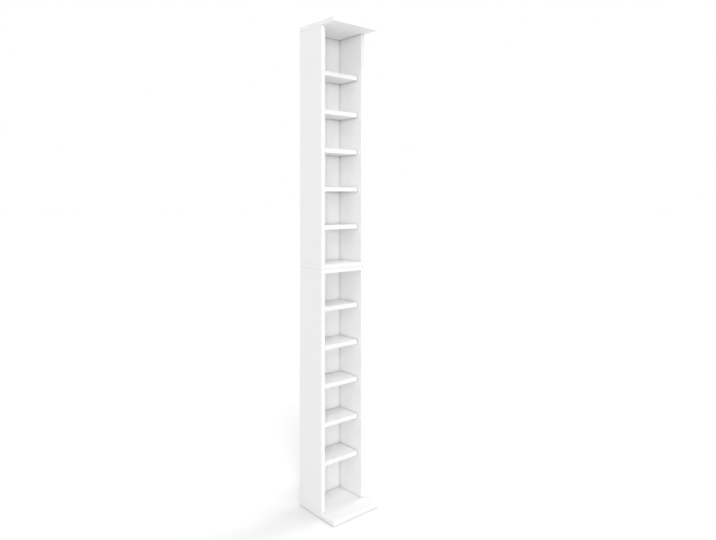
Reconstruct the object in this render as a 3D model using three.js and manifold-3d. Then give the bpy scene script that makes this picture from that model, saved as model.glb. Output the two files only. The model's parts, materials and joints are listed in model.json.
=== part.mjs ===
// A tall, narrow storage tower for discs, in white board. Two open units of six compartments
// stand one on the other, the lower one upside down, between two deeper plates.
// Millimetres, +Z up, front towards -Y, left towards -X, origin in the middle of the base.
import * as THREE from 'three';
import { mergeVertices } from 'three/addons/utils/BufferGeometryUtils.js';
import Module from 'manifold-3d';

const wasm = await Module();
wasm.setup();

// The boards.
const boardThickness = 18;
const towerWidth = 232;
const plateDepth = 232;
const frontOverhang = 80; // how far the plates stand out past the fronts of the sides

// The back panels, slid into a groove in the sides, the plate and the middle board.
const backThickness = 3;
const backLip = 5; // from the groove to the back edge
const grooveDepth = 6;
const backPlay = 0.5; // between a panel's edge and the bottom of its groove
const grooveFrontGap = 1.2; // in front of a panel, in a groove wider than it

// The compartments. The ones next to the two plates are taller than the others.
const shelvesPerUnit = 5;
const shelfClearHeight = 142;
const endClearHeight = 179;
const shelfSetback = 24;
const shelfEndGap = 1.5;
const shelfBackGap = 3;

// Gaps and cuts.
const fitGap = 0.3; // between a fitting and its hole
const cutOverrun = 1;

// The screws that hold the plates and the middle boards to the ends of the sides.
const screwHeadRadius = 5;
const screwHeadHeight = 3;
const screwHeadSink = 0.5;
const screwNeckRadius = 3.5;
const screwThreadRadius = 3;
const screwLength = 50;
const screwTipLength = 4;
const screwTipRadius = 1;
const screwSocketRadius = 2.3;
const screwSocketDepth = 2.4;
const screwInset = 32; // from the front and back edges of a side
const screwHoleReserve = 2;

// The bent wires that carry each shelf. A wire's legs stand in the side, and its run lies in
// a slot in the shelf's end. The slot is open at the back, so the shelf slides off forwards.
const wireRadius = 1.5;
const wireLegInSide = 8;
const wireReach = 5; // from the side to the middle of the run
const wireInset = 37; // from the front and back edges of a side

// The two connectors through the middle boards: a sleeve from below, a bolt from above.
const connectorSpacing = 110;
const connectorHeadRadius = 6;
const connectorHeadHeight = 1.2;
const sleeveRadius = 4;
const sleeveBoreRadius = 2.8;
const sleeveLength = 24;
const boltRadius = 2.5;
const boltLength = 28;
const boltSocketRadius = 2.3;
const boltSocketDepth = 1.6;

const turnedSides = 16;
const wireSides = 8;
const hexSides = 6;

// Places that follow from the sizes above.
const shelfPitch = shelfClearHeight + boardThickness;
const sideHeight = shelvesPerUnit * shelfPitch + endClearHeight;
const unitHeight = sideHeight + 2 * boardThickness;
const seamHeight = unitHeight;
const halfWidth = towerWidth / 2;
const innerHalfWidth = halfWidth - boardThickness;
const sideMiddleX = halfWidth - boardThickness / 2;
const plateFrontY = -plateDepth / 2;
const backY = plateDepth / 2;
const sideFrontY = plateFrontY + frontOverhang;
const sideMiddleY = (sideFrontY + backY) / 2;
const backPanelY = [backY - backLip - backThickness, backY - backLip];
const grooveY = [backPanelY[0] - grooveFrontGap, backPanelY[1] + fitGap];
const screwRows = [sideFrontY + screwInset, backY - screwInset];
const wireRows = [sideFrontY + wireInset, backY - wireInset];
const bothSides = [-1, 1];
const sideNames = { [-1]: 'left', [1]: 'right' };

const whiteBoard = { color: 0xf2f2f2, roughness: 0.45, metalness: 0 };
const steel = { color: 0xb9bcc0, roughness: 0.35, metalness: 1 };

const up = new THREE.Vector3(0, 0, 1);
const down = new THREE.Vector3(0, 0, -1);

// Keeps only the corners, joins equal ones, and leaves out the empty triangles on an axis.
function closedGeometry(geometry) {
  geometry.deleteAttribute('normal');
  geometry.deleteAttribute('uv');
  const merged = mergeVertices(geometry);
  const index = merged.index.array;
  const kept = [];
  for (let i = 0; i < index.length; i += 3) {
    const [a, b, c] = [index[i], index[i + 1], index[i + 2]];
    if (a !== b && b !== c && c !== a) kept.push(a, b, c);
  }
  merged.setIndex(kept);
  return merged;
}

function toSolid(geometry) {
  const closed = closedGeometry(geometry);
  return new wasm.Manifold(new wasm.Mesh({
    numProp: 3,
    vertProperties: new Float32Array(closed.attributes.position.array),
    triVerts: new Uint32Array(closed.index.array),
  }));
}

function toGeometry(solid) {
  const mesh = solid.getMesh();
  const geometry = new THREE.BufferGeometry();
  geometry.setAttribute('position', new THREE.BufferAttribute(mesh.vertProperties, 3));
  geometry.setIndex(new THREE.BufferAttribute(mesh.triVerts, 1));
  return geometry;
}

// One geometry less a list of others.
function cut(geometry, tools) {
  let solid = toSolid(geometry);
  for (const tool of tools) solid = solid.subtract(toSolid(tool));
  return toGeometry(solid);
}

function join(geometries) {
  const [first, ...others] = geometries.map(toSolid);
  return toGeometry(others.reduce((whole, next) => whole.add(next), first));
}

// A box between three pairs of limits, each pair in either order.
function block(xs, ys, zs) {
  const sizes = [xs, ys, zs].map(([from, to]) => Math.abs(to - from));
  const middles = [xs, ys, zs].map(([from, to]) => (from + to) / 2);
  return new THREE.BoxGeometry(...sizes).translate(...middles);
}

// A round piece from a list of [radius, distance along], both ends on the axis.
function turned(profile, sides, at, along) {
  const points = profile.map(([radius, distance]) => new THREE.Vector2(radius, distance));
  const turn = new THREE.Quaternion().setFromUnitVectors(new THREE.Vector3(0, 1, 0), along);
  const geometry = new THREE.LatheGeometry(points, sides).applyQuaternion(turn);
  return closedGeometry(geometry.translate(at.x, at.y, at.z));
}

// A drill's cut: it starts a little outside its mouth and goes in against the way out.
function drill(radius, depth, sides, mouth, wayOut) {
  const profile = [[0, -depth], [radius, -depth], [radius, cutOverrun], [0, cutOverrun]];
  return turned(profile, sides, mouth, wayOut);
}

function addPiece(tower, name, geometry, finish) {
  const mesh = new THREE.Mesh(geometry, new THREE.MeshStandardMaterial(finish));
  mesh.name = name;
  tower.add(mesh);
}

// A screw whose head lies sunk under the face that it goes in through.
function screw(mouth, wayOut) {
  const head = mouth.clone().addScaledVector(wayOut, -screwHeadSink);
  const threadStart = boardThickness - screwHeadSink;
  const body = turned([
    [0, -screwLength],
    [screwTipRadius, -screwLength],
    [screwThreadRadius, -screwLength + screwTipLength],
    [screwThreadRadius, -threadStart],
    [screwNeckRadius, -threadStart],
    [screwNeckRadius, -screwHeadHeight],
    [screwHeadRadius, -screwHeadHeight],
    [screwHeadRadius, 0],
    [0, 0],
  ], turnedSides, head, wayOut);
  return cut(body, [drill(screwSocketRadius, screwSocketDepth, hexSides, head, wayOut)]);
}

function screwHolesInBoard(mouth, wayOut) {
  const headDepth = screwHeadSink + screwHeadHeight + fitGap;
  return [
    drill(screwHeadRadius + fitGap, headDepth, turnedSides, mouth, wayOut),
    drill(screwNeckRadius + fitGap, boardThickness + cutOverrun, turnedSides, mouth, wayOut),
  ];
}

function screwHoleInSide(mouth, wayOut) {
  const depth = screwHeadSink + screwLength + screwHoleReserve;
  return drill(screwThreadRadius + fitGap, depth, turnedSides, mouth, wayOut);
}

// A bent wire: two legs along X, a run along Y, and round corners.
function shelfWire(side, height) {
  const legEnd = side * (innerHalfWidth + wireLegInSide);
  const runX = side * (innerHalfWidth - wireReach);
  const legLength = wireLegInSide + wireReach;
  const outwards = new THREE.Vector3(side, 0, 0);
  const backwards = new THREE.Vector3(0, 1, 0);
  const pieces = [];
  for (const y of wireRows) {
    const leg = [[0, -legLength], [wireRadius, -legLength], [wireRadius, 0], [0, 0]];
    pieces.push(turned(leg, wireSides, new THREE.Vector3(legEnd, y, height), outwards));
    const corner = new THREE.SphereGeometry(wireRadius, wireSides, wireSides);
    pieces.push(corner.translate(runX, y, height));
  }
  const runLength = wireRows[1] - wireRows[0];
  const run = [[0, 0], [wireRadius, 0], [wireRadius, runLength], [0, runLength]];
  pieces.push(turned(run, wireSides, new THREE.Vector3(runX, wireRows[0], height), backwards));
  return join(pieces);
}

function wireHoles(side, height) {
  return wireRows.map((y) => drill(
    wireRadius + fitGap,
    wireLegInSide + fitGap,
    wireSides,
    new THREE.Vector3(side * innerHalfWidth, y, height),
    new THREE.Vector3(-side, 0, 0),
  ));
}

// A shelf with a slot in each end for its wires.
function shelfBoard(low, wireHeight) {
  const end = innerHalfWidth - shelfEndGap;
  const backEdge = backPanelY[0] - shelfBackGap;
  const slotBottom = innerHalfWidth - wireReach - wireRadius - fitGap;
  const slotHalfHeight = wireRadius + fitGap;
  const slots = bothSides.map((side) => block(
    [side * slotBottom, side * (end + cutOverrun)],
    [wireRows[0] - wireRadius - fitGap, backEdge + cutOverrun],
    [wireHeight - slotHalfHeight, wireHeight + slotHalfHeight],
  ));
  const board = block(
    [-end, end],
    [sideFrontY + shelfSetback, backEdge],
    [low, low + boardThickness],
  );
  return cut(board, slots);
}

// One unit. Its heights are counted from the seam between the units, up or down.
function addUnit(tower, prefix, plateName, way) {
  const at = (height) => seamHeight + way * height;
  const awayFromSeam = way > 0 ? up : down;
  const towardsSeam = way > 0 ? down : up;
  const sideStart = at(boardThickness);
  const sideEnd = at(boardThickness + sideHeight);
  const unitEnd = at(unitHeight);
  const sideCuts = { [-1]: [], [1]: [] };
  const plateCuts = [];
  const middleCuts = [];

  let screwNumber = 0;
  for (const side of bothSides) {
    for (const y of screwRows) {
      screwNumber += 1;
      const inPlate = new THREE.Vector3(side * sideMiddleX, y, unitEnd);
      const inMiddle = new THREE.Vector3(side * sideMiddleX, y, seamHeight);
      plateCuts.push(...screwHolesInBoard(inPlate, awayFromSeam));
      middleCuts.push(...screwHolesInBoard(inMiddle, towardsSeam));
      sideCuts[side].push(screwHoleInSide(inPlate, awayFromSeam));
      sideCuts[side].push(screwHoleInSide(inMiddle, towardsSeam));
      addPiece(tower, `${plateName}_screw_${screwNumber}`, screw(inPlate, awayFromSeam), steel);
      addPiece(tower, `${prefix}_middle_screw_${screwNumber}`, screw(inMiddle, towardsSeam), steel);
    }
    const connector = new THREE.Vector3(side * connectorSpacing / 2, sideMiddleY, sideStart);
    const throughBoard = boardThickness + cutOverrun;
    middleCuts.push(drill(
      sleeveRadius + fitGap,
      throughBoard,
      turnedSides,
      connector,
      awayFromSeam,
    ));
  }

  // The groove for the back panel runs round all four boards.
  const grooveHalfWidth = innerHalfWidth + grooveDepth;
  const acrossGroove = [-grooveHalfWidth, grooveHalfWidth];
  plateCuts.push(block(acrossGroove, grooveY, [
    sideEnd + way * grooveDepth,
    sideEnd - way * cutOverrun,
  ]));
  middleCuts.push(block(acrossGroove, grooveY, [
    sideStart - way * grooveDepth,
    sideStart + way * cutOverrun,
  ]));
  for (const side of bothSides) {
    sideCuts[side].push(block(
      [side * grooveHalfWidth, side * (innerHalfWidth - cutOverrun)],
      grooveY,
      [sideStart - way * cutOverrun, sideEnd + way * cutOverrun],
    ));
  }
  const intoGroove = grooveDepth - backPlay;
  const panelHalfWidth = innerHalfWidth + intoGroove;
  addPiece(tower, `${prefix}_back_panel`, block(
    [-panelHalfWidth, panelHalfWidth],
    backPanelY,
    [sideStart - way * intoGroove, sideEnd + way * intoGroove],
  ), whiteBoard);

  for (let number = 1; number <= shelvesPerUnit; number += 1) {
    const height = number * shelfPitch;
    const low = way > 0 ? at(height) : at(height + boardThickness);
    const wireHeight = low + boardThickness / 2;
    const name = `${prefix}_shelf_${number}`;
    addPiece(tower, name, shelfBoard(low, wireHeight), whiteBoard);
    for (const side of bothSides) {
      sideCuts[side].push(...wireHoles(side, wireHeight));
      addPiece(tower, `${name}_${sideNames[side]}_wire`, shelfWire(side, wireHeight), steel);
    }
  }

  const acrossTower = [-halfWidth, halfWidth];
  const plate = block(acrossTower, [plateFrontY, backY], [sideEnd, unitEnd]);
  const middle = block(acrossTower, [sideFrontY, backY], [seamHeight, sideStart]);
  addPiece(tower, plateName, cut(plate, plateCuts), whiteBoard);
  addPiece(tower, `${prefix}_middle_board`, cut(middle, middleCuts), whiteBoard);
  for (const side of bothSides) {
    const acrossSide = [side * innerHalfWidth, side * halfWidth];
    const board = block(acrossSide, [sideFrontY, backY], [sideStart, sideEnd]);
    addPiece(tower, `${prefix}_${sideNames[side]}_side`, cut(board, sideCuts[side]), whiteBoard);
  }
}

// The connectors clamp the two middle boards together.
function addUnitConnectors(tower) {
  for (const side of bothSides) {
    const x = side * connectorSpacing / 2;
    const underside = new THREE.Vector3(x, sideMiddleY, seamHeight - boardThickness);
    const topside = new THREE.Vector3(x, sideMiddleY, seamHeight + boardThickness);
    const sleeve = turned([
      [0, -connectorHeadHeight],
      [connectorHeadRadius, -connectorHeadHeight],
      [connectorHeadRadius, 0],
      [sleeveRadius, 0],
      [sleeveRadius, sleeveLength],
      [0, sleeveLength],
    ], turnedSides, underside, up);
    const boreMouth = underside.clone().addScaledVector(up, sleeveLength);
    const bore = drill(sleeveBoreRadius, sleeveLength, turnedSides, boreMouth, up);
    const bolt = turned([
      [0, -boltLength],
      [boltRadius, -boltLength],
      [boltRadius, 0],
      [connectorHeadRadius, 0],
      [connectorHeadRadius, connectorHeadHeight],
      [0, connectorHeadHeight],
    ], turnedSides, topside, up);
    const headTop = topside.clone().addScaledVector(up, connectorHeadHeight);
    const socket = drill(boltSocketRadius, boltSocketDepth, hexSides, headTop, up);
    const name = `${sideNames[side]}_connector`;
    addPiece(tower, `${name}_sleeve`, cut(sleeve, [bore]), steel);
    addPiece(tower, `${name}_bolt`, cut(bolt, [socket]), steel);
  }
}

const tower = new THREE.Group();
addUnit(tower, 'upper', 'top_plate', 1);
addUnit(tower, 'lower', 'bottom_plate', -1);
addUnitConnectors(tower);

export default tower;
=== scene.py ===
# %% [markdown]
# # A disc storage tower in white board
# The real tower is two open units of coated chipboard, one standing on the other, between two
# deeper plates. The CAD model already gives every board, wire, screw and connector its place,
# so this lesson dresses those places: rounded glued edges, real holes, bent wires, threaded
# screws, and the finishes that such a tower has. We load the model first.

# %% Load the imported model
import json
import math

import bmesh
import bpy
import numpy as np
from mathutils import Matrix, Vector

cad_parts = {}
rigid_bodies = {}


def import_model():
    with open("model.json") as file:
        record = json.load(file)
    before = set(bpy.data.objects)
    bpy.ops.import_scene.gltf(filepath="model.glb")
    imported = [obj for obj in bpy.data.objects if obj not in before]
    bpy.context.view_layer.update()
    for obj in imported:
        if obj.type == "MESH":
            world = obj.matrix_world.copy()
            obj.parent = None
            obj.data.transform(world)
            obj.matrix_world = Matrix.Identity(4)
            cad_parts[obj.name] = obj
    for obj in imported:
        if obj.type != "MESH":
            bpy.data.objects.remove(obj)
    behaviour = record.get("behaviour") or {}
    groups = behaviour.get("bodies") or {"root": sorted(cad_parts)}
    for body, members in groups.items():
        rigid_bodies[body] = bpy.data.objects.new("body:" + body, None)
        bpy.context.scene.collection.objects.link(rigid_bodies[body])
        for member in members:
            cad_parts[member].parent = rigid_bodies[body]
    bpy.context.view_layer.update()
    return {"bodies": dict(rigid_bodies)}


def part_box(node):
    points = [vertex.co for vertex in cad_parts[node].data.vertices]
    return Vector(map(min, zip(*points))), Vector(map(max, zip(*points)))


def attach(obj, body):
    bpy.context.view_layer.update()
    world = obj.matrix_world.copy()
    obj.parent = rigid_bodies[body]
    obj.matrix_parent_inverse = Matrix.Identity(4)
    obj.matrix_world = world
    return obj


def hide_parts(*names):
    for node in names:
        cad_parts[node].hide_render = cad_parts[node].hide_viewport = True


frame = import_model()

MM = 0.001

# %% [markdown]
# ## The camera
# The verticals of the tower are parallel in the picture, so the camera is level, and the
# horizon lies above the middle of the frame, which is what a vertical lens shift does. The
# place, the turn and the focal length came from matching the edges of the tower.

# %% Place the camera
PICTURE_WIDTH, PICTURE_HEIGHT = 716, 540
EYE = Vector((-1.6390, -2.0154, 1.2978))
TURN_FROM_Y_TO_X = math.radians(40.975)
FOCAL_LENGTH_PX = 612.96
HORIZON_ROW = 200.17
SENSOR_WIDTH = 36.0
NEAREST_SEEN, FARTHEST_SEEN = 0.05, 200.0


def new_object(name, data):
    """An object with this data, linked to the scene."""
    thing = bpy.data.objects.new(name, data)
    bpy.context.scene.collection.objects.link(thing)
    return thing


lens = bpy.data.cameras.new("camera")
lens.sensor_width = SENSOR_WIDTH
lens.lens = FOCAL_LENGTH_PX / PICTURE_WIDTH * SENSOR_WIDTH
lens.shift_y = (HORIZON_ROW - PICTURE_HEIGHT / 2) / PICTURE_WIDTH
lens.clip_start, lens.clip_end = NEAREST_SEEN, FARTHEST_SEEN
camera = new_object("camera", lens)
camera.location = EYE
camera.rotation_euler = (math.radians(90), 0.0, -TURN_FROM_Y_TO_X)
bpy.context.scene.camera = camera
print(f"lens {lens.lens:.2f} mm, shift {lens.shift_y:.4f}")

# %% [markdown]
# ## Tools for materials
# A shader is a small network. These helpers add a node with its inputs in one line, so that
# each finish below reads like a recipe. An input is a number, a colour, or the output of an
# earlier node.

# %% Node helpers
def add_node(tree, kind, **inputs):
    """Adds a shader node and fills its inputs; an underscore in a name stands for a space."""
    node = tree.nodes.new("ShaderNode" + kind)
    for name, value in inputs.items():
        fill_input(tree, node.inputs[name.replace("_", " ")], value)
    return node


def fill_input(tree, socket, value):
    """Links an output to the socket, or sets the socket's own value."""
    if isinstance(value, bpy.types.NodeSocket):
        tree.links.new(value, socket)
    else:
        socket.default_value = value


def calculate(tree, operation, *values):
    """One Math node: the operation applied to one, two or three values."""
    node = tree.nodes.new("ShaderNodeMath")
    node.operation = operation
    for socket, value in zip(node.inputs, values):
        fill_input(tree, socket, value)
    return node.outputs[0]


def spread(tree, value, low, high):
    """Turns a value of 0 to 1 into low to high: low + value * (high - low)."""
    return calculate(tree, "MULTIPLY_ADD", value, high - low, low)


def new_group(name, inputs, outputs):
    """An empty node group with float inputs (name: default) and float outputs."""
    tree = bpy.data.node_groups.new(name, "ShaderNodeTree")
    for label, default in inputs.items():
        socket = tree.interface.new_socket(label, in_out="INPUT", socket_type="NodeSocketFloat")
        socket.default_value = default
    for label in outputs:
        tree.interface.new_socket(label, in_out="OUTPUT", socket_type="NodeSocketFloat")
    return tree, tree.nodes.new("NodeGroupInput"), tree.nodes.new("NodeGroupOutput")


def use_group(tree, group, **inputs):
    """Places a group in a material with this finish's own values."""
    node = tree.nodes.new("ShaderNodeGroup")
    node.node_tree = group
    for name, value in inputs.items():
        fill_input(tree, node.inputs[name.replace("_", " ")], value)
    return node


def new_material(name, preview):
    """An empty node material; the preview colour is what a plain viewer shows."""
    material = bpy.data.materials.new(name)
    material.use_nodes = True
    material.diffuse_color = (*preview, 1.0)
    tree = material.node_tree
    tree.nodes.clear()
    return material, tree


def finish_material(tree, **inputs):
    """Adds the Principled shader with its inputs and the output of the material."""
    shader = add_node(tree, "BsdfPrincipled", **inputs)
    add_node(tree, "OutputMaterial", Surface=shader.outputs["BSDF"])


def grey(level):
    """An opaque grey: red, green, blue and alpha."""
    return (level, level, level, 1.0)


def colour_of(tree, red, green, blue):
    """A colour from its three levels."""
    return add_node(tree, "CombineColor", Red=red, Green=green, Blue=blue).outputs["Color"]


def object_place(tree):
    """Where a point lies in its piece's own coordinates, which are the model's."""
    return add_node(tree, "TexCoord").outputs["Object"]


def two_colours(tree, value, first, last):
    """A ramp from the first colour to the last as the value goes from 0 to 1."""
    node = add_node(tree, "ValToRGB", Fac=value)
    node.color_ramp.elements[0].color = first
    node.color_ramp.elements[1].color = last
    return node.outputs["Color"]


print("node helpers ready")

# %% [markdown]
# ## Effects that several finishes share
# Coated board, plastic edging and lacquered hardboard all carry a fine pressed grain: small
# soft dimples, with a slower waviness under them from the board itself. One group makes it,
# and each finish picks its own dimple size. A second group makes the faint cloudy marks that
# handling leaves, which on a board show only in the gloss. A third makes the fine lines of
# drawn wire and turned screws.

# %% Pressed grain
grain_group, grain_in, grain_out = new_group(
    "pressed grain", {"Dimples per metre": 900.0, "Waves per metre": 22.0}, ["Height", "Cloud"])
place = object_place(grain_group)
dimples = add_node(grain_group, "TexNoise", Vector=place, Detail=2.0, Roughness=0.55,
                   Scale=grain_in.outputs["Dimples per metre"])
waves = add_node(grain_group, "TexNoise", Vector=place, Detail=3.0, Roughness=0.5,
                 Scale=grain_in.outputs["Waves per metre"])
DIMPLE_SHARE = 0.35
height = calculate(grain_group, "MULTIPLY_ADD", dimples.outputs["Fac"], DIMPLE_SHARE,
                   waves.outputs["Fac"])
grain_group.links.new(height, grain_out.inputs["Height"])
grain_group.links.new(waves.outputs["Fac"], grain_out.inputs["Cloud"])

# %% Handling marks
marks_group, marks_in, marks_out = new_group(
    "handling marks", {"Patches per metre": 7.0, "Sharpness": 3.0}, ["Mask"])
place = object_place(marks_group)
patches = add_node(marks_group, "TexNoise", Vector=place, Detail=6.0, Roughness=0.65,
                   Distortion=0.6, Scale=marks_in.outputs["Patches per metre"])
centred = calculate(marks_group, "SUBTRACT", patches.outputs["Fac"], 0.5)
steep = calculate(marks_group, "MULTIPLY", centred, marks_in.outputs["Sharpness"])
shifted = calculate(marks_group, "ADD", steep, 0.5)
mask = calculate(marks_group, "MINIMUM", calculate(marks_group, "MAXIMUM", shifted, 0.0), 1.0)
marks_group.links.new(mask, marks_out.inputs["Mask"])

# %% Fine lines in metal
lines_group, lines_in, lines_out = new_group(
    "metal lines", {"Across per metre": 6000.0, "Along per metre": 60.0, "Turned": 0.0},
    ["Lines"])
# The piece's own map runs round it in U and along it in V, both in metres. Drawn wire has its
# lines along V, a turned screw has them along U.
place = add_node(lines_group, "UVMap").outputs["UV"]
split = add_node(lines_group, "SeparateXYZ", Vector=place)
turned_part = lines_in.outputs["Turned"]
drawn_part = calculate(lines_group, "SUBTRACT", 1.0, turned_part)


def line_scale(first_share, second_share):
    """across * first + along * second, the scale of one direction of the map."""
    return calculate(lines_group, "MULTIPLY_ADD", lines_in.outputs["Across per metre"],
                     first_share,
                     calculate(lines_group, "MULTIPLY", lines_in.outputs["Along per metre"],
                               second_share))


u_scaled = calculate(lines_group, "MULTIPLY", split.outputs["X"],
                     line_scale(drawn_part, turned_part))
v_scaled = calculate(lines_group, "MULTIPLY", split.outputs["Y"],
                     line_scale(turned_part, drawn_part))
stretched = add_node(lines_group, "CombineXYZ", X=u_scaled, Y=v_scaled)
streaks = add_node(lines_group, "TexNoise", Vector=stretched.outputs["Vector"], Scale=1.0,
                   Detail=3.0, Roughness=0.6)
lines_group.links.new(streaks.outputs["Fac"], lines_out.inputs["Lines"])
print("groups:", sorted(group.name for group in bpy.data.node_groups))

# %% [markdown]
# ## Board finishes
# Coated chipboard shows four finishes: the coated face with its pearl grain, the plastic
# edging, which is smoother and a little glossier, the hair-thin glue line between the two, and
# the raw chips wherever something is drilled or milled. The grain is far finer than a pixel of
# the picture, so it is there for closer views, and the colour does the work in the wide one.
#
# Where two boards meet, a dark line a few millimetres wide is painted into the colour as shade.
# The Ambient Occlusion node tells how open a point is: 1 on a free face and a half where two
# faces meet. The finishes darken their colour with it, so the painted shade follows the joints
# of every board, whatever its place.

# %% Painted shade in the joints
# how far the painted shade in the joints reaches, and the samples it takes
PAINTED_SHADE_REACH = 12 * MM
PAINTED_SHADE_SAMPLES = 16


def painted_shade(tree, level, depth, reach=PAINTED_SHADE_REACH):
    """Painted shade: level * (1 - depth * (1 - openness)), for points within reach of another
    face.
    """
    node = add_node(tree, "AmbientOcclusion", Distance=reach)
    node.samples = PAINTED_SHADE_SAMPLES
    return calculate(tree, "MULTIPLY", level, spread(tree, node.outputs["AO"], 1 - depth, 1.0))


# %% Coated face
WHITE = 0.94
# how deep the painted shade in the board's joints goes
BOARD_PAINTED_SHADE = 0.30
CLOUD_PALE_SHARE, CLOUD_DARK_SHARE = 1.004, 0.992
GRAIN_STRENGTH = 0.35
EDGING_SHARE = 1.01   # how white the edging is, as a share of the coated face


def coated_board(name, level, dimples_per_metre, relief, smoothest, roughest):
    """The level, paler or darker by the cloud, with painted shade in the joints; the marks set
    the roughness.
    """
    material, tree = new_material(name, (level,) * 3)
    grain = use_group(tree, grain_group, Dimples_per_metre=dimples_per_metre)
    marks = use_group(tree, marks_group)
    cloud = spread(tree, grain.outputs["Cloud"], level * CLOUD_PALE_SHARE,
                   level * CLOUD_DARK_SHARE)
    # painted shade: the colour is darker in the joints
    shade = painted_shade(tree, cloud, BOARD_PAINTED_SHADE)
    rough = spread(tree, marks.outputs["Mask"], smoothest, roughest)
    bump = add_node(tree, "Bump", Strength=GRAIN_STRENGTH, Distance=relief,
                    Height=grain.outputs["Height"])
    finish_material(tree, Base_Color=colour_of(tree, shade, shade, shade), Roughness=rough,
                    Normal=bump.outputs["Normal"])
    return material


white_face = coated_board("white coated face", WHITE, dimples_per_metre=900.0,
                          relief=0.03 * MM, smoothest=0.40, roughest=0.47)
white_edging = coated_board("white plastic edging", WHITE * EDGING_SHARE,
                            dimples_per_metre=1500.0, relief=0.012 * MM, smoothest=0.30,
                            roughest=0.36)

# %% Glue line
GLUE_DARK, GLUE_PALE = (0.55, 0.54, 0.51, 1.0), (0.74, 0.73, 0.71, 1.0)
SPECKS_PER_METRE = 2400.0
glue_line, glue_tree = new_material("glue line", (0.62, 0.61, 0.58))
speckle = add_node(glue_tree, "TexNoise", Scale=SPECKS_PER_METRE, Detail=2.0,
                   Vector=object_place(glue_tree))
glue_colour = two_colours(glue_tree, speckle.outputs["Fac"], GLUE_DARK, GLUE_PALE)
finish_material(glue_tree, Base_Color=glue_colour, Roughness=0.6)

# %% Raw chipboard
CHIP_DARK, CHIP_PALE = (0.33, 0.22, 0.13, 1.0), (0.66, 0.52, 0.36, 1.0)
CHIPS_PER_METRE, FIBRES_PER_METRE = 650.0, 2600.0
FIBRE_SHARE = 0.15   # how far the fibres shift a chip's shade, up or down
CHIP_RELIEF = 0.25 * MM
chipboard, chip_tree = new_material("raw chipboard", (0.50, 0.37, 0.24))
place = object_place(chip_tree)
chips = add_node(chip_tree, "TexVoronoi", Vector=place, Scale=CHIPS_PER_METRE)
fibres = add_node(chip_tree, "TexNoise", Vector=place, Scale=FIBRES_PER_METRE, Detail=3.0)
chip_shade = add_node(chip_tree, "SeparateColor", Color=chips.outputs["Color"])
chip_mix = spread(chip_tree, fibres.outputs["Fac"], -FIBRE_SHARE, FIBRE_SHARE)
chip_value = calculate(chip_tree, "ADD", chip_shade.outputs["Red"], chip_mix)
chip_colour = two_colours(chip_tree, chip_value, CHIP_DARK, CHIP_PALE)
chip_bump = add_node(chip_tree, "Bump", Strength=0.6, Distance=CHIP_RELIEF,
                     Height=chips.outputs["Distance"])
finish_material(chip_tree, Base_Color=chip_colour, Roughness=0.85,
                Normal=chip_bump.outputs["Normal"])

# %% Lacquered hardboard, front and back
# The front of a back panel is lacquered smooth. Its rear keeps the fine woven print of the
# sieve that the hardboard was pressed on, under the same white.
PANEL_FRONT_SHARE = 0.99
REAR_PALE_SHARE, REAR_MEAN_SHARE, REAR_DARK_SHARE = 0.95, 0.93, 0.89
REAR_BLUE_SHARE = 0.985   # a little less blue: the brown board shows through the lacquer
panel_front = coated_board("lacquered hardboard front", WHITE * PANEL_FRONT_SHARE,
                           dimples_per_metre=700.0, relief=0.02 * MM, smoothest=0.46,
                           roughest=0.54)
panel_rear, rear_tree = new_material("lacquered hardboard rear", (WHITE * REAR_MEAN_SHARE,) * 3)
place = object_place(rear_tree)
SIEVE_WIRES_PER_METRE = 283.7
WAVE_RADIANS_PER_UNIT = 20.0   # the Wave texture's own rate at a scale of 1
SIEVE_RELIEF = 0.12 * MM


def sieve_wave(direction):
    """One set of the sieve's wires, a sine wave for each: scale = wires * 2 pi / rate."""
    scale = SIEVE_WIRES_PER_METRE * 2 * math.pi / WAVE_RADIANS_PER_UNIT
    wave = add_node(rear_tree, "TexWave", Vector=place, Scale=scale, Distortion=0.4,
                    Detail=1.0)
    wave.bands_direction = direction
    return wave.outputs["Fac"]


weave = calculate(rear_tree, "MULTIPLY", sieve_wave("X"), sieve_wave("Z"))
rear_cloud = add_node(rear_tree, "TexNoise", Vector=place, Scale=35.0, Detail=4.0)
rear_shade = spread(rear_tree, rear_cloud.outputs["Fac"], WHITE * REAR_PALE_SHARE,
                    WHITE * REAR_DARK_SHARE)
# painted shade: the rear's colour is darker in the joints too
rear_level = painted_shade(rear_tree, rear_shade, BOARD_PAINTED_SHADE)
rear_blue = calculate(rear_tree, "MULTIPLY", rear_level, REAR_BLUE_SHARE)
rear_colour = colour_of(rear_tree, rear_level, rear_level, rear_blue)
rear_bump = add_node(rear_tree, "Bump", Strength=0.5, Distance=SIEVE_RELIEF, Height=weave)
finish_material(rear_tree, Base_Color=rear_colour, Roughness=0.62,
                Normal=rear_bump.outputs["Normal"])

# %% [markdown]
# ## Metal finishes
# The wires, screws and connectors are zinc-plated steel: a cool grey metal whose gloss breaks
# up along the lines that drawing or turning left.

# %% Zinc-plated steel
STEEL_PALE, STEEL_DARK = 0.66, 0.58
STEEL_RED_SHARE, STEEL_BLUE_SHARE = 0.97, 1.02
STEEL_SMOOTHEST, STEEL_ROUGHEST = 0.22, 0.42
LINE_RELIEF = 0.02 * MM


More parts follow.
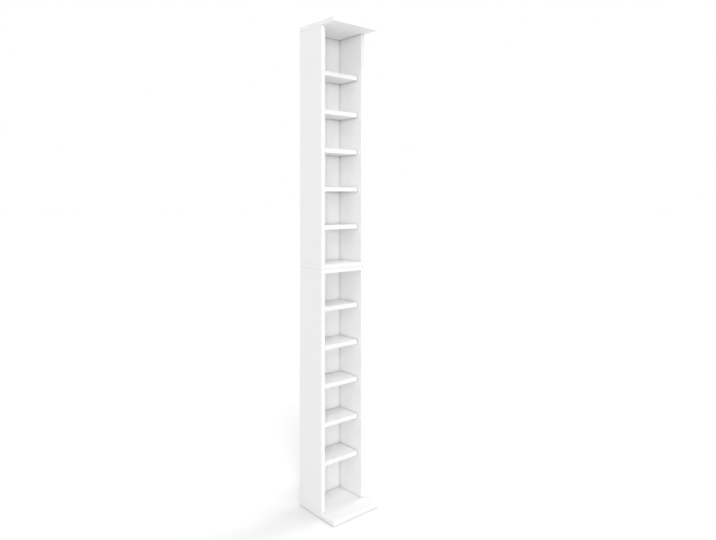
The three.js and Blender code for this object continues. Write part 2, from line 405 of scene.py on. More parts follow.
def plated_steel(name, turned):
    """Grey metal; its roughness and a shallow bump follow the fine lines."""
    material, tree = new_material(name, (0.62, 0.64, 0.66))
    lines = use_group(tree, lines_group, Turned=turned)
    marks = use_group(tree, marks_group, Patches_per_metre=160.0)
    shade = spread(tree, marks.outputs["Mask"], STEEL_PALE, STEEL_DARK)
    red = calculate(tree, "MULTIPLY", shade, STEEL_RED_SHARE)
    blue = calculate(tree, "MULTIPLY", shade, STEEL_BLUE_SHARE)
    rough = spread(tree, lines.outputs["Lines"], STEEL_SMOOTHEST, STEEL_ROUGHEST)
    bump = add_node(tree, "Bump", Strength=0.25, Distance=LINE_RELIEF,
                    Height=lines.outputs["Lines"])
    finish_material(tree, Base_Color=colour_of(tree, red, shade, blue), Roughness=rough,
                    Metallic=1.0, Normal=bump.outputs["Normal"])
    return material


drawn_steel = plated_steel("drawn zinc-plated wire", turned=0.0)
turned_steel = plated_steel("turned zinc-plated steel", turned=1.0)
print("materials:", sorted(material.name for material in bpy.data.materials))

# %% [markdown]
# ## Tools for surfaces
# Every new piece is a grid of points worked out as one array: rings that go round the piece,
# one after another along it. The quads between the rings and a cap at each end close it. The
# last steps are the same for all: put it on its body and hide the CAD solid it stands for.

# %% Mesh helpers
def quads_between_rings(ring_count, points_per_ring):
    """Quad (j, i), (j, i+1), (j+1, i+1), (j+1, i) for every cell; each ring closes on itself."""
    j, i = np.meshgrid(np.arange(ring_count - 1), np.arange(points_per_ring), indexing="ij")
    following = (i + 1) % points_per_ring
    corners = np.stack([j * points_per_ring + i, j * points_per_ring + following,
                        (j + 1) * points_per_ring + following, (j + 1) * points_per_ring + i],
                       axis=-1)
    return corners.reshape(-1, 4)


def face_outwards(mesh):
    """Turns every face of a closed shell outwards."""
    shell = bmesh.new()
    shell.from_mesh(mesh)
    bmesh.ops.recalc_face_normals(shell, faces=shell.faces)
    shell.to_mesh(mesh)
    shell.free()


def closed_shell(name, rings, materials, ring_finish=None, cap_finish=0, ring_uv=None):
    """A mesh object from rings[j, i] with an n-gon over each end.

    ring_finish[j, i] is the material index of the quad that starts at point (j, i).
    ring_uv[j, i] is the map in metres; a closed ring takes one more column for its seam.
    """
    ring_count, points_per_ring, _ = rings.shape
    quads = quads_between_rings(ring_count, points_per_ring)
    first_cap = np.arange(points_per_ring)[::-1]
    last_cap = (ring_count - 1) * points_per_ring + np.arange(points_per_ring)
    faces = quads.tolist() + [first_cap.tolist(), last_cap.tolist()]
    mesh = bpy.data.meshes.new(name)
    mesh.from_pydata(rings.reshape(-1, 3).tolist(), [], faces)
    for material in materials:
        mesh.materials.append(material)
    finish = np.zeros((ring_count - 1, points_per_ring), np.int32)
    if ring_finish is not None:
        finish[:] = ring_finish
    mesh.polygons.foreach_set("material_index",
                              np.append(finish.ravel(), [cap_finish] * 2).astype(np.int32))
    if ring_uv is not None:
        write_ring_map(mesh, ring_uv, ring_count, points_per_ring)
    face_outwards(mesh)
    return new_object(name, mesh)


def write_ring_map(mesh, ring_uv, ring_count, points_per_ring):
    """The map of quad (j, i) takes columns i and i+1 of ring_uv, and a cap takes its corner."""
    j, i = np.meshgrid(np.arange(ring_count - 1), np.arange(points_per_ring), indexing="ij")
    corners = np.stack([ring_uv[j, i], ring_uv[j, i + 1], ring_uv[j + 1, i + 1],
                        ring_uv[j + 1, i]], axis=2).reshape(-1, 2)
    caps = np.concatenate([ring_uv[0, :-1][::-1], ring_uv[-1, :-1]])
    layer = mesh.uv_layers.new(name="around and along")
    layer.data.foreach_set("uv", np.concatenate([corners, caps]).ravel())


def round_map(sides, radius, steps):
    """U runs round a piece of this radius, V along it by the steps between its rings."""
    around = np.arange(sides + 1) * 2 * math.pi * radius / sides
    along = np.concatenate([[0.0], np.cumsum(steps)])
    return np.stack(np.meshgrid(around, along), axis=-1)


def smooth_with_sharp_edges(piece, angle_degrees):
    """Smooth shading that stops at edges steeper than the angle, flat faces kept flat."""
    piece.data.shade_smooth()
    piece.data.set_sharp_from_angle(angle=math.radians(angle_degrees))
    weighted = piece.modifiers.new("flat faces lead", "WEIGHTED_NORMAL")
    weighted.keep_sharp = True


def at_level(points, level):
    """Points (x, y) of a plane become (x, y, level)."""
    return np.column_stack([points, np.full(len(points), level)])


def body_of_node(node):
    """The body that the CAD node rides on: a shelf is its own body, the rest is the carcass."""
    return node if node in frame["bodies"] else "carcass"


def stands_for(piece, node):
    """The piece rides where its CAD solid rides, and hides it."""
    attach(piece, body_of_node(node))
    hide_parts(node)


print("mesh helpers ready")

# %% [markdown]
# ## The glued edge of a board
# All boards share one edge: 1 mm plastic edging, rounded over at both faces, with the glue
# line just inside the rounding. It is written once, as a profile that goes from one face round
# to the other. A plate carries this profile round its whole outline. A side or a shelf has
# edging only along its long edges, so there the two profiles make the section of the board,
# and the section is carried along its length to two raw, sawn ends.

# %% The edge profile
BOARD = 18 * MM
EDGE_RADIUS = 0.9 * MM
GLUE_WIDTH = 0.12 * MM
ROUND_STEPS = 5
FACE, EDGING, GLUE, RAW = 0, 1, 2, 3
BOARD_FINISHES = [white_face, white_edging, glue_line, chipboard]
BOARD_SHARP_ANGLE = 35


def edge_profile(thickness):
    """Points (inset from the edge, height): glue line, quarter round, edge, the same again.

    A quarter round is inset = r (1 - sin a), height = -t/2 + r (1 - cos a), a from 0 to 90.
    """
    a = np.linspace(0.0, math.pi / 2, ROUND_STEPS + 1)
    inset = np.concatenate([[EDGE_RADIUS + GLUE_WIDTH], EDGE_RADIUS * (1 - np.sin(a))])
    height = np.concatenate([[0.0], EDGE_RADIUS * (1 - np.cos(a))]) - thickness / 2
    return np.column_stack([np.concatenate([inset, inset[::-1]]),
                            np.concatenate([height, -height[::-1]])])


def profile_finish():
    """The finish of each step of the profile: glue, edging all round the edge, glue."""
    steps = len(edge_profile(BOARD)) - 1
    finish = np.full(steps, EDGING)
    finish[[0, -1]] = GLUE
    return finish


print("steps in the edge profile:", len(profile_finish()))

# %% Boards with edging all round
CORNER_RADIUS = 1.4 * MM
CORNER_POINTS = 5


def rounded_outline(half, corner, inset, points):
    """A rectangle with rounded corners, moved in by inset: centre + radius * (cos a, sin a).

    The centre of a corner is half - corner from the middle, and its radius is corner - inset.
    """
    radius = corner - inset
    a = np.linspace(0.0, math.pi / 2, points)
    a = (a[None, :] + np.arange(4)[:, None] * math.pi / 2).ravel()
    side_x = np.repeat([1, -1, -1, 1], points)
    side_y = np.repeat([1, 1, -1, -1], points)
    x = side_x * (half[0] - corner) + radius * np.cos(a)
    y = side_y * (half[1] - corner) + radius * np.sin(a)
    return np.column_stack([x, y])


def board_edged_all_round(name, low, high):
    """Ring j is the outline at the profile's inset j and height j. For a board lying flat."""
    centre, half = (low + high) / 2, (high - low) / 2
    rings = np.stack([at_level(rounded_outline(half, CORNER_RADIUS, inset, CORNER_POINTS),
                               height)
                      for inset, height in edge_profile(2 * half[2])])
    return closed_shell(name, rings + centre, BOARD_FINISHES[:RAW],
                        ring_finish=profile_finish()[:, None], cap_finish=FACE)


# %% Boards with edging along the long edges
END_BREAK = 0.8 * MM   # the sawn ends have their sharp edges taken off


def board_edged_lengthwise(name, low, high, thickness_axis, length_axis):
    """The section is profile, face, mirrored profile, face. It is carried along the length.

    The edging lies at the front and back edges, so the section's width runs along Y. Ring j
    is the section at length * (-1, -1, 1, 1), and the outer two are END_BREAK smaller all
    round than the inner two, END_BREAK away.
    """
    centre, half = (low + high) / 2, (high - low) / 2
    profile = edge_profile(2 * half[thickness_axis])
    back = np.column_stack([half[1] - profile[:, 0], profile[:, 1]])
    section = np.concatenate([back, -back])
    broken = np.array([[1.0], [0.0], [0.0], [1.0]]) * END_BREAK
    rings = np.zeros((4, len(section), 3))
    rings[:, :, 1] = section[:, 0] * (1 - broken / half[1])
    rings[:, :, thickness_axis] = section[:, 1] * (1 - broken / half[thickness_axis])
    rings[:, :, length_axis] = (np.array([[-1.0], [-1.0], [1.0], [1.0]])
                                * (half[length_axis] - END_BREAK + broken))
    finish = np.concatenate([profile_finish(), [FACE], profile_finish(), [FACE]])
    return closed_shell(name, rings + centre, BOARD_FINISHES, ring_finish=finish[None, :],
                        cap_finish=RAW)


print("board makers ready")

# %% [markdown]
# ## Cutting the holes
# The fittings need their holes, and these show raw chips when a shelf is pulled out. A hole is
# worked out from the box of the fitting that sits in it, plus a small clearance, so it is
# always in line. All cutters of one board are joined and taken out with one exact Boolean,
# which is kept as the board's mesh.

# %% Cutters
CLEARANCE = 0.3 * MM
OVERRUN = 1.0 * MM
ROUND_SIDES = 40


def box_of(node):
    """The lowest and highest corner of a CAD node, as arrays."""
    low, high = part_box(node)
    return np.array(low), np.array(high)


def round_cutter(mouth, inward, radius_and_depth):
    """A stepped drill: rings of each radius from one depth to the next, along inward.

    The ring at depth d and radius r is mouth + d * inward + r * (cos a * u + sin a * v).
    """
    inward = np.array(inward, float)
    u = np.roll(inward, 1)
    v = np.cross(inward, u)
    a = np.arange(ROUND_SIDES) * 2 * math.pi / ROUND_SIDES
    circle = np.cos(a)[:, None] * u + np.sin(a)[:, None] * v
    depths, radii, start = [], [], -OVERRUN
    for radius, depth in radius_and_depth:
        depths += [start, depth]
        radii += [radius, radius]
        start = depth
    rings = (np.array(mouth) + np.array(depths)[:, None, None] * inward
             + np.array(radii)[:, None, None] * circle)
    return closed_shell("cutter", rings, [chipboard])


def slot_cutter(low, high):
    """A milled slot: a plain block between two corners, as two rings of four points."""
    ring = np.array([[low[0], low[1]], [high[0], low[1]], [high[0], high[1]],
                     [low[0], high[1]]])
    rings = np.stack([at_level(ring, level) for level in (low[2], high[2])])
    return closed_shell("cutter", rings, [chipboard])


def join_objects(pieces):
    """One object out of several, without the scene's operators."""
    joined = bmesh.new()
    for piece in pieces:
        joined.from_mesh(piece.data)
        bpy.data.objects.remove(piece)
    mesh = bpy.data.meshes.new("cutters")
    joined.to_mesh(mesh)
    joined.free()
    mesh.materials.append(chipboard)
    return new_object("cutters", mesh)


def cut_out(board, cutters):
    """Takes the cutters out of the board and keeps the result as the board's own mesh."""
    tool = join_objects(cutters)
    boolean = board.modifiers.new("cuts", "BOOLEAN")
    boolean.operation, boolean.solver = "DIFFERENCE", "EXACT"
    boolean.material_mode = "TRANSFER"
    boolean.object = tool
    depsgraph = bpy.context.evaluated_depsgraph_get()
    cut_mesh = bpy.data.meshes.new_from_object(board.evaluated_get(depsgraph))
    board.modifiers.clear()
    board.data = cut_mesh
    bpy.data.objects.remove(tool)


def finish_board(board, node, cutters):
    """Cuts the holes, sets the shading and puts the board in its node's place."""
    cut_out(board, cutters)
    smooth_with_sharp_edges(board, BOARD_SHARP_ANGLE)
    stands_for(board, node)
    return board


print("cutters ready")

# %% [markdown]
# ## Where the fittings sit
# The holes follow from the fittings' own boxes. A screw gives a stepped hole in the plate or
# middle board that it holds and a plain one in the end of the side. A wire's legs give two
# holes in the side, its run gives the slot in the shelf's end, and a back panel gives the
# groove in the four boards round it.

# %% Holes from the fittings
PLATE_OF = {"upper": "top_plate", "lower": "bottom_plate"}
UNIT_WAY = {"upper": 1, "lower": -1}
SIDE_WAY = {"left": -1, "right": 1}
SHELF_NUMBERS = range(1, 6)   # counted from the middle of the tower
SCREW_NUMBERS = range(1, 5)   # in each plate and middle board
SCREW_HOLE_RESERVE = 2 * MM
SCREW_HEAD_RADIUS, SCREW_HEAD_HEIGHT = 5 * MM, 3 * MM
SCREW_NECK_RADIUS, SCREW_THREAD_RADIUS = 3.5 * MM, 3 * MM
SLEEVE_RADIUS = 4 * MM
WIRE_RADIUS = 1.5 * MM
GROOVE_FRONT_PLAY, GROOVE_END_PLAY = 1.2 * MM, 0.5 * MM
up = np.array([0.0, 0.0, 1.0])


def upright_axis(node):
    """The middle of an upright fitting seen from above, and its lowest and highest level."""
    low, high = box_of(node)
    return (low + high)[:2] / 2, low[2], high[2]


def screw_cutters_in_board(screws, board_low, board_high, way_in):
    """Head recess and neck hole from the face the screw goes in through."""
    face = board_high[2] if way_in < 0 else board_low[2]
    made = []
    for node in screws:
        middle, low, high = upright_axis(node)
        head_top = high if way_in < 0 else low
        recess = abs(head_top - face) + SCREW_HEAD_HEIGHT + CLEARANCE
        made.append(round_cutter(
            (*middle, face), way_in * up,
            [(SCREW_HEAD_RADIUS + CLEARANCE, recess),
             (SCREW_NECK_RADIUS + CLEARANCE, BOARD + OVERRUN)]))
    return made


def screw_cutters_in_side(side_low, side_high, screws):
    """A plain hole in the side's end for each screw over it, a little deeper than the screw."""
    made = []
    for node in screws:
        middle, low, high = upright_axis(node)
        if side_low[0] < middle[0] < side_high[0]:
            from_above = high > side_high[2]
            end = side_high[2] if from_above else side_low[2]
            tip = low if from_above else high
            inward = -up if from_above else up
            depth = abs(tip - end) + SCREW_HOLE_RESERVE
            made.append(round_cutter((*middle, end), inward,
                                     [(SCREW_THREAD_RADIUS + CLEARANCE, depth)]))
    return made


def groove_cutter(panel):
    """The panel's box plus its play; each board round it loses what lies inside the board."""
    low, high = box_of(panel)
    low = low - [GROOVE_END_PLAY, GROOVE_FRONT_PLAY, GROOVE_END_PLAY]
    high = high + [GROOVE_END_PLAY, CLEARANCE, GROOVE_END_PLAY]
    return slot_cutter(low, high)


def unit_screws(unit):
    """The names of the screws in the unit's plate, and of those in its middle board."""
    plate = [f"{PLATE_OF[unit]}_screw_{number}" for number in SCREW_NUMBERS]
    middle = [f"{unit}_middle_screw_{number}" for number in SCREW_NUMBERS]
    return plate, middle


print("screws of the upper unit:", unit_screws("upper"))

# %% [markdown]
# ## The plates and the middle boards
# The two plates stand out in front of the sides. The two middle boards lie back to back: each
# has its edging all round, and a hair's width stays open between them, so a dark line runs
# round the middle of the tower. A fainter line lies above and below it, where a side's end
# meets one of their rounded edges.

# %% Make the flat boards
SEAM_GAP = 0.3 * MM


def flat_board(node, unit, screws, way_in, in_the_middle):
    """A plate or a middle board, with its screw holes and its groove.

    A middle board's face at the seam is drawn back by half the seam's gap.
    """
    low, high = box_of(node)
    face_low, face_high = low.copy(), high.copy()
    if in_the_middle:
        face_low[2] += SEAM_GAP / 2 * (way_in > 0)
        face_high[2] -= SEAM_GAP / 2 * (way_in < 0)
    board = board_edged_all_round(f"{node}_board", face_low, face_high)
    cutters = screw_cutters_in_board(screws, low, high, way_in)
    cutters.append(groove_cutter(f"{unit}_back_panel"))
    if in_the_middle:
        for side in SIDE_WAY:
            middle, _, _ = upright_axis(f"{side}_connector_sleeve")
            cutters.append(round_cutter((*middle, low[2]), up,
                                        [(SLEEVE_RADIUS + CLEARANCE, BOARD + OVERRUN)]))
    return finish_board(board, node, cutters)


for unit, way in UNIT_WAY.items():
    plate_screws, middle_screws = unit_screws(unit)
    flat_board(PLATE_OF[unit], unit, plate_screws, -way, in_the_middle=False)
    made = flat_board(f"{unit}_middle_board", unit, middle_screws, way, in_the_middle=True)
    print(unit, "middle board:", len(made.data.polygons), "faces")

# %% [markdown]
# ## The sides
# A side's rounded edges run up its front and back. Its ends are raw, because a plate and a
# middle board cover them.

# %% Make the sides
def side_board(unit, side):
    """A side with its screw holes, its groove, and two holes for the legs of each wire."""
    node = f"{unit}_{side}_side"
    low, high = box_of(node)
    board = board_edged_lengthwise(f"{node}_board", low, high, thickness_axis=0, length_axis=2)
    plate_screws, middle_screws = unit_screws(unit)
    cutters = screw_cutters_in_side(low, high, plate_screws + middle_screws)
    cutters.append(groove_cutter(f"{unit}_back_panel"))
    outward = SIDE_WAY[side]
    inner_x = low[0] if outward > 0 else high[0]
    for number in SHELF_NUMBERS:
        wire_low, wire_high = box_of(f"{unit}_shelf_{number}_{side}_wire")
        level = (wire_low[2] + wire_high[2]) / 2
        leg_end = wire_high[0] if outward > 0 else wire_low[0]
        depth = abs(leg_end - inner_x) + CLEARANCE
        for y in (wire_low[1] + WIRE_RADIUS, wire_high[1] - WIRE_RADIUS):
            cutters.append(round_cutter((inner_x, y, level), (outward, 0, 0),
                                        [(WIRE_RADIUS + CLEARANCE, depth)]))
    return finish_board(board, node, cutters)


for unit in UNIT_WAY:
    for side in SIDE_WAY:
        made = side_board(unit, side)
        print(made.name, len(made.data.polygons), "faces")

# %% [markdown]
# ## The shelves
# A shelf is loose: it lies on its two hidden wires and slides off them to the front. Each end
# has a slot for the wire, milled through to the back edge. Every shelf rides on its own body,
# so it moves with its slide.

# %% Make the shelves
def shelf_board(unit, number):
    """A shelf with a slot in each end, from just in front of its wire to the back edge."""
    node = f"{unit}_shelf_{number}"
    low, high = box_of(node)
    board = board_edged_lengthwise(f"{node}_board", low, high, thickness_axis=2, length_axis=0)
    cutters = []
    for side, outward in SIDE_WAY.items():
        wire_low, wire_high = box_of(f"{node}_{side}_wire")
        inner = wire_low[0] if outward > 0 else wire_high[0]
        end = high[0] if outward > 0 else low[0]
        slot_x = sorted([inner - outward * CLEARANCE, end + outward * OVERRUN])
        cutters.append(slot_cutter(
            (slot_x[0], wire_low[1] - CLEARANCE, wire_low[2] - CLEARANCE),
            (slot_x[1], high[1] + OVERRUN, wire_high[2] + CLEARANCE)))
    return finish_board(board, node, cutters)


for unit in UNIT_WAY:
    for number in SHELF_NUMBERS:
        made = shelf_board(unit, number)
print(made.name, len(made.data.polygons), "faces")

# %% [markdown]
# ## The back panels
# A back panel is a thin sheet of hardboard in a groove. It is a rounded section again, but so
# thin that the rounding is only the wear of a saw cut, and its two faces differ.

# %% Make the back panels
SAWN_RADIUS = 0.25 * MM
SAWN_POINTS = 3   # on each of the four roundings
SHEET_FRONT, SHEET_REAR, SHEET_RAW = 0, 1, 2


def hardboard_sheet(unit):
    """The section is a rectangle with four sawn roundings, carried up the panel's height."""
    node = f"{unit}_back_panel"
    low, high = box_of(node)
    centre, half = (low + high) / 2, (high - low) / 2
    section = rounded_outline(half, SAWN_RADIUS, 0.0, SAWN_POINTS)
    rings = np.stack([at_level(section, level) for level in (-half[2], half[2])])
    finish = np.full((1, len(section)), SHEET_RAW)
    finish[0, SAWN_POINTS - 1] = SHEET_REAR        # the long step after the first rounding
    finish[0, 3 * SAWN_POINTS - 1] = SHEET_FRONT   # the long step after the third
    sheet = closed_shell(f"{node}_sheet", rings + centre, [panel_front, panel_rear, chipboard],
                         ring_finish=finish, cap_finish=SHEET_RAW)
    smooth_with_sharp_edges(sheet, BOARD_SHARP_ANGLE)
    stands_for(sheet, node)
    return sheet


for unit in UNIT_WAY:
    print(hardboard_sheet(unit).name)

# %% [markdown]
# ## The bent wires
# A wire support is steel wire bent into a U: two legs that stand in the side, and a run along
# the shelf's end. We carry a circle along that path. The path lies flat, so the circle needs
# only the upright direction and the one across the path.

# %% Make the wires
WIRE_SIDES = 16
BEND_RADIUS = 2.6 * MM
BEND_STEPS = 7
CHAMFER = 0.35 * MM
WIRE_SHARP_ANGLE = 40


def wire_path(low, high, outward):
    """Leg, quarter bend, run, quarter bend, leg, as points and directions in the plane."""
    leg_end = high[0] if outward > 0 else low[0]
    run_x = low[0] + WIRE_RADIUS if outward > 0 else high[0] - WIRE_RADIUS
    first_y, last_y = low[1] + WIRE_RADIUS, high[1] - WIRE_RADIUS
    a = np.linspace(0.0, math.pi / 2, BEND_STEPS + 1)
    bend_x = run_x + outward * BEND_RADIUS * (1 - np.sin(a))
    bend_y = first_y + BEND_RADIUS * (1 - np.cos(a))
    half = np.column_stack([np.concatenate([[leg_end, leg_end - outward * CHAMFER], bend_x]),
                            np.concatenate([[first_y, first_y], bend_y])])
    turn = np.concatenate([[0.0, 0.0], a])
    direction = np.column_stack([-outward * np.cos(turn), np.sin(turn)])
    mirrored = half[::-1] * [1, -1] + [0, first_y + last_y]
    points = np.concatenate([half, mirrored])
    directions = np.concatenate([direction, (direction * [-1, 1])[::-1]])
    return points, directions


def bent_wire(node, outward):
    """Ring j is the path's point j + r (cos a * across + sin a * up), r less at the ends."""
    low, high = box_of(node)
    level = (low[2] + high[2]) / 2
    points, directions = wire_path(low, high, outward)
    radius = np.full(len(points), WIRE_RADIUS)
    radius[[0, -1]] -= CHAMFER
    across = at_level(directions[:, ::-1] * [1, -1], 0.0)
    a = np.arange(WIRE_SIDES) * 2 * math.pi / WIRE_SIDES
    rings = (at_level(points, level)[:, None, :]
             + radius[:, None, None] * (np.cos(a)[None, :, None] * across[:, None, :]
                                        + np.sin(a)[None, :, None] * up))
    steps = np.linalg.norm(np.diff(points, axis=0), axis=1)
    wire = closed_shell(f"{node}_bent", rings, [drawn_steel],
                        ring_uv=round_map(WIRE_SIDES, WIRE_RADIUS, steps))
    smooth_with_sharp_edges(wire, WIRE_SHARP_ANGLE)
    stands_for(wire, node)
    return wire


for unit in UNIT_WAY:
    for number in SHELF_NUMBERS:
        for side, outward in SIDE_WAY.items():
            made = bent_wire(f"{unit}_shelf_{number}_{side}_wire", outward)
print(made.name, len(made.data.polygons), "faces")

# %% [markdown]
# ## Screws and connectors
# A turned piece is one surface over the angle and the length. Where the radius depends on both
# at once, the same surface makes a thread, whose crest climbs one pitch in each turn, and a
# hexagon socket, whose radius is larger towards its six corners.

# %% Make the turned pieces
TURN_SIDES = 36
TURNED_SHARP_ANGLE = 32
RIDGE_STEEPNESS, RIDGE_DROP = 1.6, 0.3   # they flatten a thread's crests and the floor between
angle = np.arange(TURN_SIDES) * 2 * math.pi / TURN_SIDES


def hexagon_ring(corner_radius):
    """r(a) = corner * cos 30 / cos(a - the nearest flat's middle), a straight-sided hexagon."""
    off_flat = angle % (math.pi / 3) - math.pi / 6
    return corner_radius * math.cos(math.pi / 6) / np.cos(off_flat)


def thread_rings(core, crest, pitch, start, end, steps_per_pitch=8):
    """Rings at depth s with r(a, s) = core + (crest - core) * ridge(s / pitch - a / turn).

    ridge is a triangle wave cut off at 0 and 1. It fades to 0 at both ends of the thread.
    """
    count = max(3, round((end - start) / pitch * steps_per_pitch))
    s = np.linspace(start, end, count)
    phase = (s[:, None] / pitch - angle[None, :] / (2 * math.pi)) % 1.0
    wave = 1 - np.abs(2 * phase - 1)
    ridge = np.clip(RIDGE_STEEPNESS * wave - RIDGE_DROP, 0.0, 1.0)
    fade = np.clip(np.minimum(s - start, end - s) / pitch, 0.0, 1.0)[:, None]
    return s, core + (crest - core) * ridge * fade


def turned_piece(node, middle, head_level, inward, depths, radii):
    """Ring j lies at head_level + inward * depth j and has radius radii[j, a].

    A circle is given as one number, which then stands for every angle a.
    """
    depths = np.array(depths)
    radii = np.stack([np.broadcast_to(radius, TURN_SIDES) for radius in radii])
    rings = np.zeros((len(depths), TURN_SIDES, 3))
    rings[:, :, 0] = middle[0] + radii * np.cos(angle)
    rings[:, :, 1] = middle[1] + radii * np.sin(angle)
    rings[:, :, 2] = head_level + inward * depths[:, None]
    steps = np.abs(np.diff(depths)) + np.abs(np.diff(radii.mean(axis=1)))
    piece = closed_shell(f"{node}_turned", rings, [turned_steel],
                         ring_uv=round_map(TURN_SIDES, radii.mean(), steps))
    smooth_with_sharp_edges(piece, TURNED_SHARP_ANGLE)
    stands_for(piece, node)
    return piece


SCREW_LENGTH, SCREW_TIP, SCREW_TIP_RADIUS = 50 * MM, 4 * MM, 1 * MM
SCREW_CORE, SCREW_PITCH = 2.1 * MM, 3 * MM
SCREW_HEAD_SINK = 0.5 * MM   # the head lies this far under the board's face
THREAD_RUN_IN = 0.4 * MM
SOCKET_RADIUS, SOCKET_DEPTH, SOCKET_CHAMFER = 2.3 * MM, 2.4 * MM, 0.15 * MM
RIM = 0.4 * MM


def screw(node, inward):
    """Socket floor, socket wall, head with a chamfer, neck, thread and tip, from the head on."""
    middle, low, high = upright_axis(node)
    head_level = high if inward < 0 else low
    neck_end = BOARD - SCREW_HEAD_SINK
    depths = [SOCKET_DEPTH, SOCKET_CHAMFER, 0.0, 0.0, RIM, SCREW_HEAD_HEIGHT - RIM / 2,
              SCREW_HEAD_HEIGHT, SCREW_HEAD_HEIGHT, neck_end - RIM, neck_end]
    radii = [hexagon_ring(SOCKET_RADIUS), hexagon_ring(SOCKET_RADIUS),
             hexagon_ring(SOCKET_RADIUS + SOCKET_CHAMFER), SCREW_HEAD_RADIUS - RIM,
             SCREW_HEAD_RADIUS, SCREW_HEAD_RADIUS, SCREW_HEAD_RADIUS - RIM / 2,
             SCREW_NECK_RADIUS, SCREW_NECK_RADIUS, SCREW_CORE]
    tip_start = SCREW_LENGTH - SCREW_TIP
    s, thread = thread_rings(SCREW_CORE, SCREW_THREAD_RADIUS, SCREW_PITCH,
                             neck_end + THREAD_RUN_IN, tip_start)
    depths += [*s, SCREW_LENGTH]
    radii += [*thread, SCREW_TIP_RADIUS]
    return turned_piece(node, middle, head_level, inward, depths, radii)


for unit, way in UNIT_WAY.items():
    plate_screws, middle_screws = unit_screws(unit)
    for node in plate_screws:
        screw(node, -way)
    for node in middle_screws:
        made = screw(node, way)
print(made.name, len(made.data.polygons), "faces")

# %% Make the connectors
HEAD_RADIUS, HEAD_HEIGHT = 6 * MM, 1.2 * MM
SLEEVE_BORE, SLEEVE_SOCKET_DEPTH = 2.8 * MM, 0.5 * MM
BOLT_RADIUS, BOLT_CORE, BOLT_TIP_RADIUS = 2.5 * MM, 2.1 * MM, 1.8 * MM
BOLT_SOCKET_DEPTH, BOLT_SOCKET_CHAMFER = 1.6 * MM, 0.1 * MM
BOLT_PITCH, BOLT_STEPS_PER_PITCH = 0.8 * MM, 6
BOLT_SHANK_END, BOLT_THREAD_START, BOLT_TIP = 3.6 * MM, 4 * MM, 0.5 * MM


def connector_sleeve(node):
    """From the bore's floor up its wall, over the rim, down the outside and over the head."""
    middle, low, high = upright_axis(node)
    length = high - low
    depths = [HEAD_HEIGHT, length - RIM, length, length, length - RIM, HEAD_HEIGHT,
              HEAD_HEIGHT, RIM / 2, 0.0, 0.0, SLEEVE_SOCKET_DEPTH]
    radii = [SLEEVE_BORE, SLEEVE_BORE, SLEEVE_BORE + RIM / 2, SLEEVE_RADIUS - RIM / 2,
             SLEEVE_RADIUS, SLEEVE_RADIUS, HEAD_RADIUS, HEAD_RADIUS, HEAD_RADIUS - RIM,
             hexagon_ring(SOCKET_RADIUS), hexagon_ring(SOCKET_RADIUS)]
    return turned_piece(node, middle, low, 1, depths, radii)


def connector_bolt(node):
    """Socket, flat head with a rounded rim, then a machine thread down to the end."""
    middle, low, high = upright_axis(node)
    length = high - low
    depths = [BOLT_SOCKET_DEPTH, BOLT_SOCKET_CHAMFER, 0.0, 0.0, RIM / 2, HEAD_HEIGHT,
              HEAD_HEIGHT, BOLT_SHANK_END]
    radii = [hexagon_ring(SOCKET_RADIUS), hexagon_ring(SOCKET_RADIUS),
             hexagon_ring(SOCKET_RADIUS + BOLT_SOCKET_CHAMFER), HEAD_RADIUS - RIM,
             HEAD_RADIUS, HEAD_RADIUS, BOLT_RADIUS, BOLT_RADIUS]
    s, thread = thread_rings(BOLT_CORE, BOLT_RADIUS, BOLT_PITCH, BOLT_THREAD_START,
                             length - BOLT_TIP, BOLT_STEPS_PER_PITCH)
    depths += [*s, length]
    radii += [*thread, BOLT_TIP_RADIUS]
    return turned_piece(node, middle, high, -1, depths, radii)


for side in SIDE_WAY:
    connector_sleeve(f"{side}_connector_sleeve")
    made = connector_bolt(f"{side}_connector_bolt")
print(made.name, len(made.data.polygons), "faces")

# %% [markdown]
# ## The floor
# The tower stands on a plain, white, slightly glossy floor that fades into a white background.
# The floor keeps its own shading, so the shadow beside the base stays, and what the camera
# sees of it gets a little light of its own on top, so that it turns white where nothing shades
# it. That light would also wash out the soft shade round the base, so a painted shadow makes
# the floor that the camera sees a little greyer within a quarter of a metre of the tower, while
# the tower is still lit by the whole of it. Right at the base it takes the same painted shade
# as the joints, which draws the dark line under the bottom plate's edge. A reflection of the
# tower lies on it.

# %% Make the floor
FLOOR_RADIUS = 60.0
FLOOR_SIDES = 96
FLOOR_WHITE = 0.95
FLOOR_GLOW = 0.12
# the depth of the painted contact shade under the base's edge, then the depth and reach of the
# painted shadow round the base, which only the camera sees
FLOOR_PAINTED_CONTACT_SHADE = 0.45
FLOOR_PAINTED_SHADOW = 0.45
FLOOR_PAINTED_SHADOW_REACH = 250 * MM
FLOOR_ROUGHNESS = 0.22
a = np.arange(FLOOR_SIDES) * 2 * math.pi / FLOOR_SIDES
floor_mesh = bpy.data.meshes.new("floor")
floor_mesh.from_pydata(
    np.column_stack([FLOOR_RADIUS * np.cos(a), FLOOR_RADIUS * np.sin(a),
                     np.zeros(FLOOR_SIDES)]).tolist(), [], [list(range(FLOOR_SIDES))])
floor = new_object("floor", floor_mesh)
floor_material, floor_tree = new_material("pale studio floor", (0.9, 0.9, 0.9))
floor_mesh.materials.append(floor_material)
path = add_node(floor_tree, "LightPath")
seen = path.outputs["Is Camera Ray"]
glow = calculate(floor_tree, "MULTIPLY", seen, FLOOR_GLOW)
# painted shadow: the floor that the camera sees is greyer near the tower
painted_shadow_level = painted_shade(floor_tree, FLOOR_WHITE, FLOOR_PAINTED_SHADOW, FLOOR_PAINTED_SHADOW_REACH)
change = calculate(floor_tree, "SUBTRACT", painted_shadow_level, FLOOR_WHITE)
floor_level = calculate(floor_tree, "MULTIPLY_ADD", seen, change, FLOOR_WHITE)
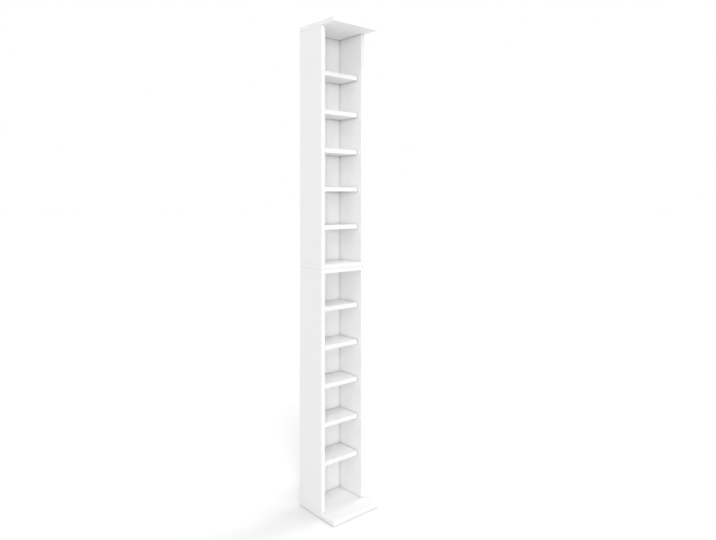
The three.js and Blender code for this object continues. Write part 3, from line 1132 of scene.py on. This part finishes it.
# painted shade: the dark line under the bottom plate's edge
floor_shade = painted_shade(floor_tree, floor_level, FLOOR_PAINTED_CONTACT_SHADE)
floor_colour = colour_of(floor_tree, floor_shade, floor_shade, floor_shade)
finish_material(floor_tree, Base_Color=floor_colour, Roughness=FLOOR_ROUGHNESS,
                Emission_Color=grey(1.0), Emission_Strength=glow)
print(f"floor: {FLOOR_SIDES} corners, {FLOOR_RADIUS:.0f} m from the middle")

# %% [markdown]
# ## The light
# The photograph has the light of a white studio: even from all round, with three large soft
# screens one over the other on the camera's side, of which the lowest fills the compartments
# to the back, and two lamps above on the right. A sun lamp with a wide angle is such a screen,
# far away: its light is as strong at the bottom of the tower as at the top. A sun of pi watts
# lights a white card that faces it fully, so each one is given as a share of that, and with
# the world they add up to about one on the faces that the picture shows. The camera and the
# reflections see the world fully white.

# %% Light the scene
WORLD_LEVEL = 0.39
world = bpy.data.worlds.new("white studio")
bpy.context.scene.world = world
world.use_nodes = True
world_tree = world.node_tree
world_tree.nodes.clear()
path = add_node(world_tree, "LightPath")
seen = calculate(world_tree, "MAXIMUM", path.outputs["Is Camera Ray"],
                 calculate(world_tree, "MAXIMUM", path.outputs["Is Glossy Ray"],
                           path.outputs["Is Transmission Ray"]))
level = spread(world_tree, seen, WORLD_LEVEL, 1.0)
background = add_node(world_tree, "Background", Color=grey(1.0), Strength=level)
add_node(world_tree, "OutputWorld", Surface=background.outputs["Background"])


def soft_screen(name, azimuth, elevation, width, share):
    """A sun of pi * share watts. Azimuth 0 is in front of the tower and 90 on its right."""
    data = bpy.data.lights.new(name, "SUN")
    data.energy = math.pi * share
    data.angle = math.radians(width)
    turn, rise = math.radians(azimuth), math.radians(elevation)
    back = Vector((math.sin(turn) * math.cos(rise), -math.cos(turn) * math.cos(rise),
                   math.sin(rise)))
    light = new_object(name, data)
    light.rotation_euler = (-back).to_track_quat("-Z", "Y").to_euler()


# azimuth, elevation and width in degrees, and share
SCREENS = {
    "low screen on the camera's side": (-35, 3, 20, 0.307),
    "middle screen": (-35, 30, 20, 0.158),
    "high screen": (-35, 60, 20, 0.247),
    "lamp above on the right": (90, 60, 20, 0.218),
    "lamp above in front on the right": (45, 60, 12, 0.067),
}
for name, values in SCREENS.items():
    soft_screen(name, *values)
print("lamps:", ", ".join(SCREENS))

bpy.context.scene.view_settings.view_transform = "Standard"
